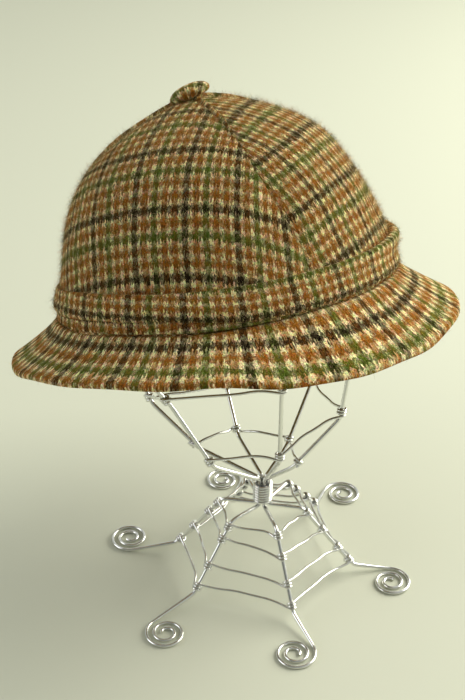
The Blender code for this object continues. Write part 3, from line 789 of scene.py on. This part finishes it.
def addFibres(name, piece, count, seed):
    chance = random.Random(seed)
    links = fibre["links"]
    mesh = piece.data
    mesh.calc_loop_triangles()
    triangles = list(mesh.loop_triangles)
    weave = mesh.uv_layers["weave"].data
    picked = chance.choices(triangles, weights=[triangle.area for triangle in triangles], k=count)
    vertices, faces, corners = [], [], []
    for triangle in picked:
        a, b = sorted((chance.random(), chance.random()))
        shares = (a, b - a, 1 - b)
        root = sum((mesh.vertices[v].co * share for v, share in zip(triangle.vertices, shares)), Vector())
        spot = sum((weave[loop].uv * share for loop, share in zip(triangle.loops, shares)), Vector((0, 0)))
        normal = triangle.normal
        side = normal.cross(Vector([chance.gauss(0, 1) for k in range(3)])).normalized()
        length = chance.uniform(*fibre["length"])
        lean = (side + normal * chance.uniform(*fibre["lift"])).normalized()
        bend = Vector([chance.gauss(0, fibre["curl"]) for k in range(3)])
        across = lean.cross(Vector([chance.gauss(0, 1) for k in range(3)])).normalized() * fibre["thickness"]
        first = len(vertices)
        for k in range(links + 1):
            share = k / links
            point = root + (lean * share + bend * share ** 2 / 2) * length
            half = across / 2 * (1 - fibre["taper"] * share)
            vertices += [tuple(point - half), tuple(point + half)]
        for k in range(links):
            low = first + 2 * k
            faces.append((low, low + 1, low + 3, low + 2))
            corners += list(spot) * 4
    fuzz = bpy.data.meshes.new(name)
    fuzz.from_pydata(vertices, [], faces)
    fuzz.uv_layers.new(name="weave").data.foreach_set("uv", corners)
    return addPiece(name, fuzz, woolTweed)


for number, gore in enumerate(gores):
    addFibres(f"goreFibre{number + 1}", gore, fibre["counts"]["gore"], 10 + number)
otherCloth = {"brim": brimPiece, "band": bandPiece, "fold": foldPiece, "button": buttonPiece}
for seed, (name, piece) in enumerate(otherCloth.items(), 20):
    addFibres(f"{name}Fibre", piece, fibre["counts"][name], seed)
print("fibre made")

# stand: six bent wires, with thinner wire wrapped round them

stand = {
    "legWire": 0.0026, "ringWire": 0.0017, "firstSlot": 168,
    "shoulder": (0.025, 0.047), "knee": (0.0565, 0.0062),   # radius, height
    "footCircle": 0.085, "spiral": 0.028, "spiralEye": 0.0055, "spiralTurns": 2.15,
    "spiralSteps": 18, "coilSteps": 20, "crownRingSteps": 30,               # points in a turn
    "footShare": 0.8, "fullFrom": 0.005,    # the wire is drawn out thinner in the feet, up to this height
    "bend": 0.003, "neckBend": 0.0022, "mostBend": 0.45,    # at most this share of a straight is bent
    "wrapGap": 0.0001, "wrapSteps": 12, "wrapTurns": 2,
    "low": (0.030, 0.016), "high": (0.054, 0.054),          # radius, rise
    "windingStart": 3, "windingTurns": 2, "windingBow": 0.03,
    "ribInset": 0.003, "seatGap": 0.0006, "seatRise": 0.35, "seatFull": 0.85, "ringShare": 0.955,
    "ribShares": [0.12, 0.3, 0.47, 0.62, 0.75, 0.86, 0.955],
    "strandGap": 0.0001, "coilClearance": 0.0006, "coilGap": 0.0002,
    "spanShares": (0.2, 0.4, 0.6, 0.8), "handmade": 0.0004,     # the thin wires stray between the legs
}
# foot, knee, low and high are azimuths, second and third shares of the leg's length, turn is which way
# the spiral winds, and the others are shares of the lengths above
wires = table("foot reach knee bend turn second third low lowSize lowRise high highSize highRise", [
    (168, 1.035, 171, 0.98, -1, 0.28, 0.61, 161, 1.32, 1.23, 165, 1.19, 0.94),
    (-130, 1.030, -137, 0.99, 1, 0.26, 0.62, -137, 1.21, 1.23, -147, 1.00, 1.16),
    (-76, 0.985, -70, 1.01, -1, 0.34, 0.66, -60, 0.82, 1.02, -60, 0.72, 1.15),
    (-13, 0.980, -9, 1.03, -1, 0.38, 0.69, -32, 0.76, 0.55, -15, 0.98, 0.67),
    (51, 1.020, 54, 1.08, -1, 0.31, 0.65, 45, 0.77, 0.78, 45, 0.94, 0.81),
    (109, 1.000, 111, 1.00, 1, 0.31, 0.65, 112, 1.23, 1.08, 110, 0.93, 0.79),
])
rings = [{"at": 0.0, "bow": 0.05}, {"at": "second", "bow": 0.02}, {"at": "third", "bow": 0.02},
         {"at": 1.0, "bow": 0.03}]


def softened(points, closed):
    # cuts each corner at a quarter of both sides, twice
    for cut in range(2):
        ends = points + points[:1] if closed else points
        smooth = [] if closed else [points[0]]
        for here, there in zip(ends, ends[1:]):
            smooth += [here.lerp(there, 0.25), here.lerp(there, 0.75)]
        points = smooth if closed else smooth + [points[-1]]
    return points


def addWire(name, points, diameter, closed, stands):
    points = softened(points, closed)
    curve = bpy.data.curves.new(name, "CURVE")
    curve.dimensions = "3D"
    curve.bevel_depth = diameter / 2
    curve.bevel_resolution = 3
    curve.use_fill_caps = not closed
    spline = curve.splines.new("POLY")
    spline.points.add(len(points) - 1)
    for spot, point in zip(spline.points, points):
        spot.co = (*point, 1)
        if not closed:
            full = min(1, point.z / stand["fullFrom"]) ** 3
            spot.radius = stand["footShare"] + (1 - stand["footShare"]) * full
    spline.use_cyclic_u = closed
    return addPiece(name, curve, drawnAluminium, standPlace, stands)


def place(azimuth, radius, height):
    point = direction(azimuth) * radius
    point.z = height
    return point


def roundedCorners(corners):
    points = [corner for corner, bend in corners]
    path = [points[0]]
    for before, (corner, bend), after in zip(points, corners[1:], points[2:]):
        into, onto = before - corner, after - corner
        start = corner + into.normalized() * min(bend, into.length * stand["mostBend"])
        end = corner + onto.normalized() * min(bend, onto.length * stand["mostBend"])
        path += [start, (start + corner * 2 + end) / 4, end]
    return path + [points[-1]]


def legPoint(row, share):
    shoulder = place(radians(row["knee"]), *stand["shoulder"])
    knee = place(radians(row["knee"]), stand["knee"][0] * row["bend"], stand["knee"][1])
    return shoulder.lerp(knee, share)


def footSpiral(row):
    centre = place(radians(row["foot"]), stand["footCircle"] * row["reach"], 0)
    knee = place(radians(row["knee"]), stand["knee"][0] * row["bend"], 0)
    outer, inner = (stand["spiral"] - stand["legWire"]) / 2, stand["spiralEye"] / 2
    toKnee = knee - centre
    leave = atan2(toKnee.y, toKnee.x) + row["turn"] * acos(outer / toKnee.length)
    steps = round(stand["spiralTurns"] * stand["spiralSteps"])
    points = []
    for i in range(steps + 1):
        inwards = 1 - i / steps
        radius = outer + (inner - outer) * inwards
        turned = leave + row["turn"] * inwards * stand["spiralTurns"] * 2 * pi
        points.append(centre + place(turned, radius, stand["legWire"] / 2 * stand["footShare"]))
    return points


def lowPoint(row):
    return place(radians(row["low"]), stand["low"][0] * row["lowSize"], stand["low"][1] * row["lowRise"])


def highPoint(row):
    return place(radians(row["high"]), stand["high"][0] * row["highSize"], stand["high"][1] * row["highRise"])


def ribPoint(row, share):
    closed = min(1, max(0, (share - stand["seatRise"]) / (stand["seatFull"] - stand["seatRise"])))
    inset = stand["ribInset"] + (stand["seatGap"] - stand["ribInset"]) * closed
    inside = crown["wall"] + stand["legWire"] / 2 + inset
    return offCrown(radians(row["high"]), share, -inside) + Vector((pose["shift"], 0, pose["rise"]))


def makeStandWire(number, row):
    slot = radians(stand["firstSlot"]) + number * 2 * pi / len(wires)
    bundle = stand["legWire"] + stand["strandGap"]
    cage = leaning()
    spiral = footSpiral(row)
    corners = [(spiral[-1], 0), (legPoint(row, 1), stand["bend"]), (legPoint(row, 0), stand["bend"]),
               (place(slot, bundle, stand["shoulder"][1]), stand["neckBend"]),
               (place(slot, bundle, pose["neckTop"]), stand["neckBend"]),
               (cage @ lowPoint(row), stand["bend"]), (cage @ highPoint(row), stand["bend"])]
    ribs = [cage @ ribPoint(row, share) for share in stand["ribShares"]]
    corners.append((ribs[0], 0))
    path = spiral[:-1] + roundedCorners(corners) + ribs[1:]
    addWire(f"bentWire{number + 1}", path, stand["legWire"], False, [f"stand_wire_{number + 1}"])


def inwardAngle(step, outward, onward):
    return atan2(-step.dot(outward), step.dot(onward))


def wrappingWire(name, crossings, bow, closed, stands, seed):
    chance = random.Random(seed)
    steps = stand["wrapSteps"]
    distance = ((stand["legWire"] + stand["ringWire"]) / 2 + stand["wrapGap"]) / cos(pi / steps)
    pitch = stand["ringWire"] + stand["wrapGap"]
    middle = sum((point for point, along, outward in crossings), Vector()) / len(crossings)
    spans = []
    for (here, *rest), (there, *rest) in zip(crossings, crossings[1:] + crossings[:1]):
        span = []
        for share in stand["spanShares"]:
            point = here.lerp(there, share)
            sag = bow * 4 * share * (1 - share) * (there - here).length
            shake = Vector([chance.gauss(0, stand["handmade"]) for k in range(3)])
            span.append(point + (middle - point).normalized() * sag + shake)
        spans.append(span)
    path = []
    for number, (point, along, outward) in enumerate(crossings):
        outward = (outward - along * outward.dot(along)).normalized()
        onward = along.cross(outward)
        start = -inwardAngle(spans[number - 1][-1] - point, outward, -onward)
        end = 2 * pi * stand["wrapTurns"] + inwardAngle(spans[number][0] - point, outward, onward)
        count = round((end - start) / (2 * pi) * steps)
        for i in range(count + 1):
            angle = start + (end - start) * i / count
            around = outward * cos(angle) + onward * sin(angle)
            climb = pitch * (angle / (2 * pi) - stand["wrapTurns"] / 2)
            path.append(point + around * distance + along * climb)
        if closed or number < len(crossings) - 1:
            path += spans[number]
    addWire(name, path, stand["ringWire"], closed, stands)


def makeBaseRing(number, ring):
    crossings = []
    for leg in wires:
        share = leg[ring["at"]] if ring["at"] in leg else ring["at"]
        reach = legPoint(leg, 0) - legPoint(leg, 1)
        margin = (stand["bend"] + stand["ringWire"]) / reach.length
        share = min(1 - margin, max(margin, share))
        crossings.append((legPoint(leg, share), reach.normalized(), direction(radians(leg["knee"]))))
    wrappingWire(f"baseRing{number}", crossings, ring["bow"], True, [f"base_ring_{number}"], 40 + number)


def makeCageWinding():
    cage = leaning()
    crossings = []
    for number in range(stand["windingStart"], stand["windingStart"] + stand["windingTurns"] * len(wires)):
        row = wires[number % len(wires)]
        if number < stand["windingStart"] + len(wires):
            here, there, azimuth = lowPoint(row), highPoint(row), row["low"]
        else:
            here, there, azimuth = highPoint(row), ribPoint(row, stand["ribShares"][0]), row["high"]
        along = (cage.to_3x3() @ (there - here)).normalized()
        outward = cage.to_3x3() @ direction(radians(azimuth))
        crossings.append((cage @ here + along * (stand["bend"] + stand["ringWire"]), along, outward))
    wrappingWire("cageWinding", crossings, stand["windingBow"], False, ["cage_winding"], 50)


def makeNeckCoil():
    radius = stand["legWire"] * 1.5 + stand["coilClearance"] + stand["ringWire"] / 2
    pitch = stand["ringWire"] + stand["coilGap"]
    low = stand["shoulder"][1] + stand["neckBend"] + stand["ringWire"] / 2
    high = pose["neckTop"] - stand["neckBend"] - stand["ringWire"] / 2
    turns = (high - low) / pitch
    steps = round(turns * stand["coilSteps"])
    path = [place(2 * pi * turns * i / steps, radius, low + (high - low) * i / steps)
            for i in range(steps + 1)]
    addWire("neckCoil", path, stand["ringWire"], False, ["neck_coil"])


def makeCrownRing():
    inside = crown["wall"] + stand["legWire"] + stand["seatGap"] + stand["ringWire"] / 2
    lift = Vector((pose["shift"], 0, pose["rise"]))
    steps = stand["crownRingSteps"]
    path = [leaning() @ (offCrown(2 * pi * i / steps, stand["ringShare"], -inside) + lift)
            for i in range(steps)]
    addWire("crownRing", path, stand["ringWire"], True, ["crown_ring"])


for number, row in enumerate(wires):
    makeStandWire(number, row)
for number, ring in enumerate(rings):
    makeBaseRing(number + 1, ring)
makeCageWinding()
makeNeckCoil()
makeCrownRing()
print("stand made")

# floor and light

studio = {
    "floorSize": 30.0,
    "key": {"place": (1.3, 0.65, 0.95), "size": 1.4, "watts": 42, "colour": "#FFFDF4"},
    "fill": {"place": (-1.5, -0.3, 0.8), "size": 1.2, "watts": 9, "colour": "#F8F9FF"},
    "aim": (0, 0, 0.15),
    "sky": "#F1F4EC",
    "skyFrom": (0.6, 0.75, 0.25), "skyStrength": (0.11, 0.86),      # away from there and towards it
}


def makeFloor():
    half = studio["floorSize"] / 2
    mesh = bpy.data.meshes.new("floor")
    corners = [(-half, -half, 0), (half, -half, 0), (half, half, 0), (-half, half, 0)]
    mesh.from_pydata(corners, [], [(0, 1, 2, 3)])
    mesh.materials.append(mattPaint)
    floorObject = bpy.data.objects.new("floor", mesh)
    bpy.context.scene.collection.objects.link(floorObject)


def makeLamp(name):
    lamp = studio[name]
    data = bpy.data.lights.new(name, "AREA")
    data.size, data.energy, data.color = lamp["size"], lamp["watts"], linear(lamp["colour"])[:3]
    lampObject = bpy.data.objects.new(name, data)
    lampObject.location = lamp["place"]
    back = Vector(lamp["place"]) - Vector(studio["aim"])
    lampObject.rotation_euler = back.to_track_quat("Z", "Y").to_euler()
    bpy.context.scene.collection.objects.link(lampObject)


def makeSky():
    world = bpy.data.worlds.new("studio")
    bpy.context.scene.world = world
    world.use_nodes = True
    tree = world.node_tree
    background = tree.nodes["Background"]
    background.inputs["Color"].default_value = linear(studio["sky"])
    skyward = addNode(tree, "ShaderNodeTexCoord").outputs["Generated"]
    facing = addVectorMath(tree, "DOT_PRODUCT", skyward, Vector(studio["skyFrom"]).normalized())
    strength = addRange(tree, facing.outputs["Value"], (-1, 1), studio["skyStrength"])
    tree.links.new(strength.outputs[0], background.inputs["Strength"])


makeFloor()
makeLamp("key")
makeLamp("fill")
makeSky()
bpy.context.scene.view_settings.view_transform = "Standard"
print("studio made")
